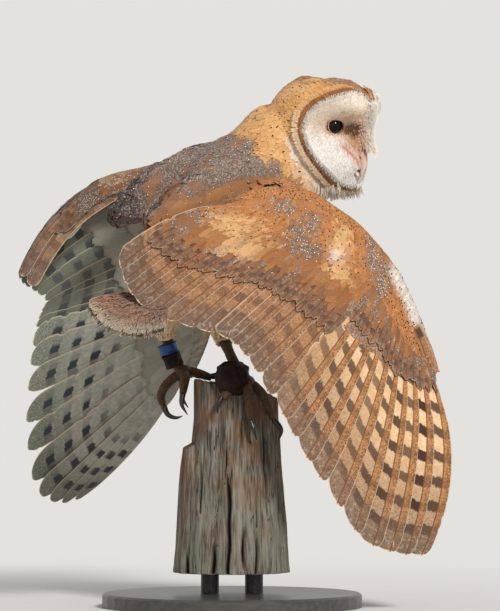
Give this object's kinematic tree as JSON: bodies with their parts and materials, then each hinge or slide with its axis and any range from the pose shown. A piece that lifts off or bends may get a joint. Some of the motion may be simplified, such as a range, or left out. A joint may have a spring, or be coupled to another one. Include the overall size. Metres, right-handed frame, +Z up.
{
  "type": "barn owl on a perch",
  "caption": "Life-size still barn owl gripping a cut length of weathered post, wings half open and drooped, head turned aside, on a flat display stand.",
  "frame": {"origin": "centre of the underside of the display stand's base, on the surface that it stands on", "axes": "+Z up; +X along the width of the pose, towards the wing tip on the side that the face is turned to; +Y away from the side that the face is turned to"},
  "size_m": [0.435, 0.4256, 0.5342],
  "materials": {
    "golden_feathers": "soft golden-buff feathers with fine dark spots",
    "grey_feathers": "grey-brown vermiculated feathers with white and black dots",
    "flight_feathers": "barred orange-brown vanes with pale inner webs",
    "white_feathers": "soft white and cream down",
    "eye": "wet, near black",
    "bill": "pale pinkish horn",
    "scaly_skin": "yellow-brown scaled toes",
    "claw": "dark polished horn",
    "leather": "dark brown, worn",
    "band": "blue, plain, without any marking",
    "wood": "weathered grey with deep cracks along the grain",
    "stand_board": "turned board with a satin black stain, its grain just showing",
    "stand_rod": "satin black"
  },
  "bodies": {
    "root": {"anklet_left": "leather", "anklet_right": "leather", "band_left": "band", "bill_lower": "bill", "bill_upper": "bill", "claw_left_inner": "claw", "claw_left_middle": "claw", "claw_left_outer": "claw", "claw_left_rear": "claw", "claw_right_inner": "claw", "claw_right_middle": "claw", "claw_right_outer": "claw", "claw_right_rear": "claw", "eye_left": "eye", "eye_right": "eye", "foot_left": "scaly_skin", "foot_right": "scaly_skin", "head": "white_feathers", "neck": "golden_feathers", "perch_post": "wood", "scapulars_left": "grey_feathers", "scapulars_right": "grey_feathers", "shank_left": "scaly_skin", "shank_right": "scaly_skin", "stand_base": "stand_board", "stand_rod_left": "stand_rod", "stand_rod_right": "stand_rod", "tail": "flight_feathers", "thigh_left": "white_feathers", "thigh_right": "white_feathers", "trunk": "golden_feathers", "wing_left_alula": "flight_feathers", "wing_left_arm": "golden_feathers", "wing_left_hand": "golden_feathers", "wing_left_primaries": "flight_feathers", "wing_left_secondaries": "flight_feathers", "wing_left_upper_arm": "golden_feathers", "wing_right_alula": "flight_feathers", "wing_right_arm": "golden_feathers", "wing_right_hand": "golden_feathers", "wing_right_primaries": "flight_feathers", "wing_right_secondaries": "flight_feathers", "wing_right_upper_arm": "golden_feathers"}
  },
  "joints": []
}
